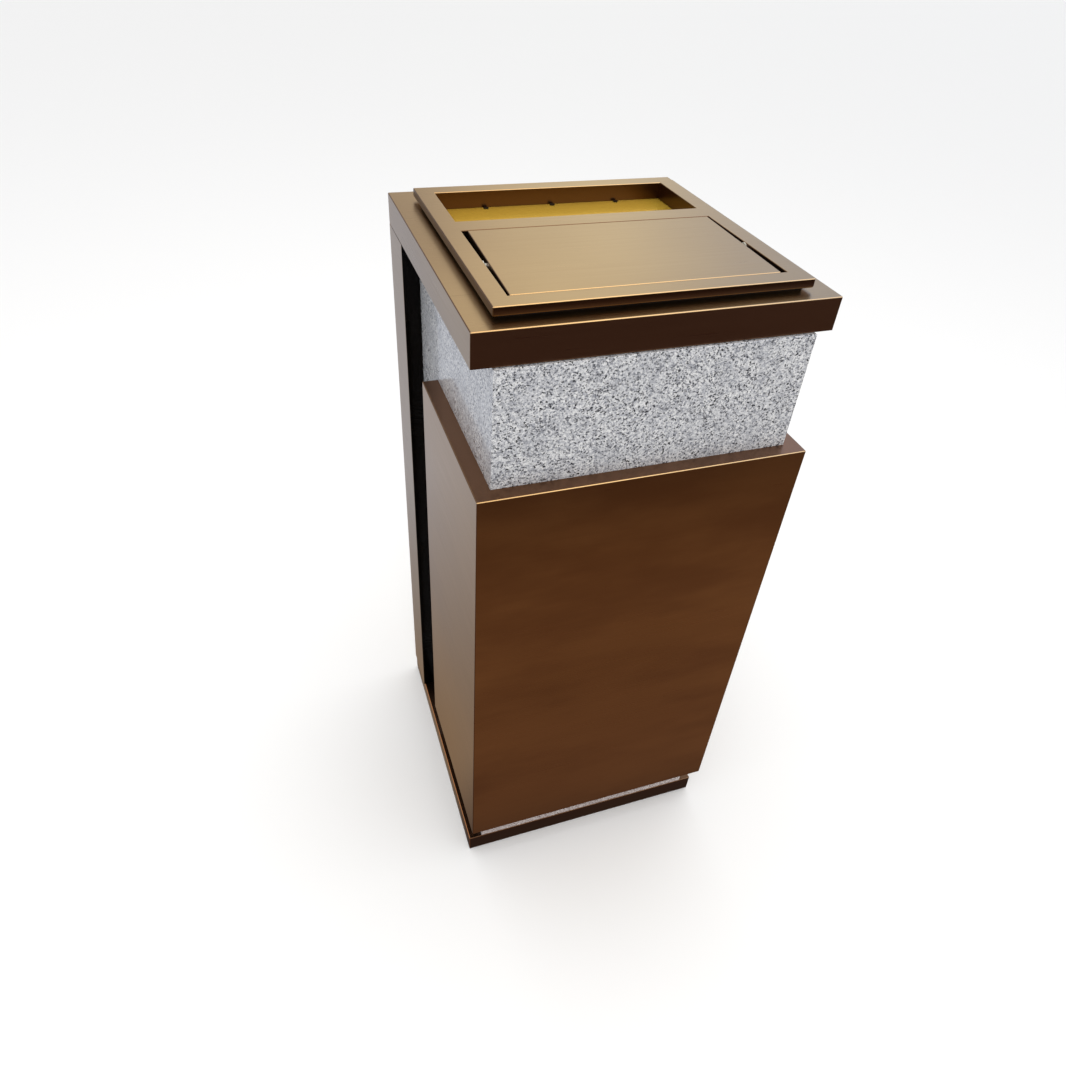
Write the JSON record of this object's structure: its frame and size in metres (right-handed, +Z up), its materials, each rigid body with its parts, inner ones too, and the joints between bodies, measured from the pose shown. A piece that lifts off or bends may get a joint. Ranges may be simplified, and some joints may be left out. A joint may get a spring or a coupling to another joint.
{
  "type": "ashtray bin",
  "caption": "Square lobby bin with a recessed ash tray and a swing flap in a lift-off lid, granite cladding, a bronze skirt and a lift-out inner bucket.",
  "frame": {"origin": "on the ground, under the centre of the bounding box", "axes": "+Z up, the skirt's front faces -Y, +X to the right seen from the front"},
  "size_m": [0.4, 0.422, 0.925],
  "materials": {
    "antique_bronze": "brushed stainless with an antique bronze coating, satin",
    "gold": "polished gold-toned sheet",
    "granite": "polished fine-grained white and grey granite",
    "galvanised": "galvanised sheet",
    "dark_steel": "dark coated",
    "zinc": "zinc plated",
    "black_rubber": "matt black",
    "nylon": "natural nylon",
    "mastic": "cured grey mastic"
  },
  "bodies": {
    "cabinet": {"base_plinth": "antique_bronze", "foot_pads": "black_rubber", "foot_studs": "zinc", "foot_nuts": "zinc", "column_shell": "antique_bronze", "rear_panel": "antique_bronze", "rear_panel_screws": "dark_steel", "rear_panel_nuts": "zinc", "casing_front": "galvanised", "casing_back": "galvanised", "casing_right": "galvanised", "casing_left": "galvanised", "casing_rivets": "zinc", "casing_bolts": "zinc", "casing_nuts": "zinc", "granite_front": "granite", "granite_right": "granite", "granite_left": "granite", "stone_adhesive": "mastic", "skirt_front": "antique_bronze", "skirt_right": "antique_bronze", "skirt_left": "antique_bronze", "skirt_rails": "galvanised", "skirt_bolts": "zinc", "skirt_nuts": "zinc", "cap_shell": "antique_bronze", "cap_underplate": "galvanised", "cap_screws": "zinc", "cap_nuts": "zinc"},
    "lid": {"lid_plate": "antique_bronze", "lid_collar": "dark_steel", "lid_seal": "black_rubber", "ash_tray_floor": "gold", "ash_tray_rivets": "dark_steel", "pivot_bushes": "nylon", "flap_stops": "dark_steel"},
    "flap": {"flap_panel": "antique_bronze", "flap_arms": "galvanised", "counterweight": "zinc", "pivot_pins": "zinc", "pivot_spacers": "zinc"},
    "bucket": {"bucket_shell": "galvanised", "bucket_rim": "galvanised", "bucket_feet": "black_rubber", "handle_brackets": "galvanised", "bracket_rivets": "zinc"},
    "handle_right": {"right_handle": "zinc"},
    "handle_left": {"left_handle": "zinc"}
  },
  "joints": [
    {"name": "lid_lift", "type": "slide", "parent": "cabinet", "child": "lid", "axis": [0, 0, 1], "range_m": [0, 1]},
    {"name": "flap_swing", "type": "hinge", "parent": "lid", "child": "flap", "pos_m": [0, -0.0624, 0.919], "axis": [1, 0, 0], "range_deg": [-50, 50]},
    {"name": "bucket_lift", "type": "slide", "parent": "cabinet", "child": "bucket", "axis": [0, 0, 1], "range_m": [0, 0.9]},
    {"name": "right_handle_swing", "type": "hinge", "parent": "bucket", "child": "handle_right", "pos_m": [0.142, 0, 0.79], "axis": [0, 1, 0], "range_deg": [0, 170]},
    {"name": "left_handle_swing", "type": "hinge", "parent": "bucket", "child": "handle_left", "pos_m": [-0.142, 0, 0.79], "axis": [0, -1, 0], "range_deg": [0, 170]}
  ],
  "couplings": [
    {"joint": "bucket_lift", "follows": "lid_lift", "ratio": 0.88}
  ]
}
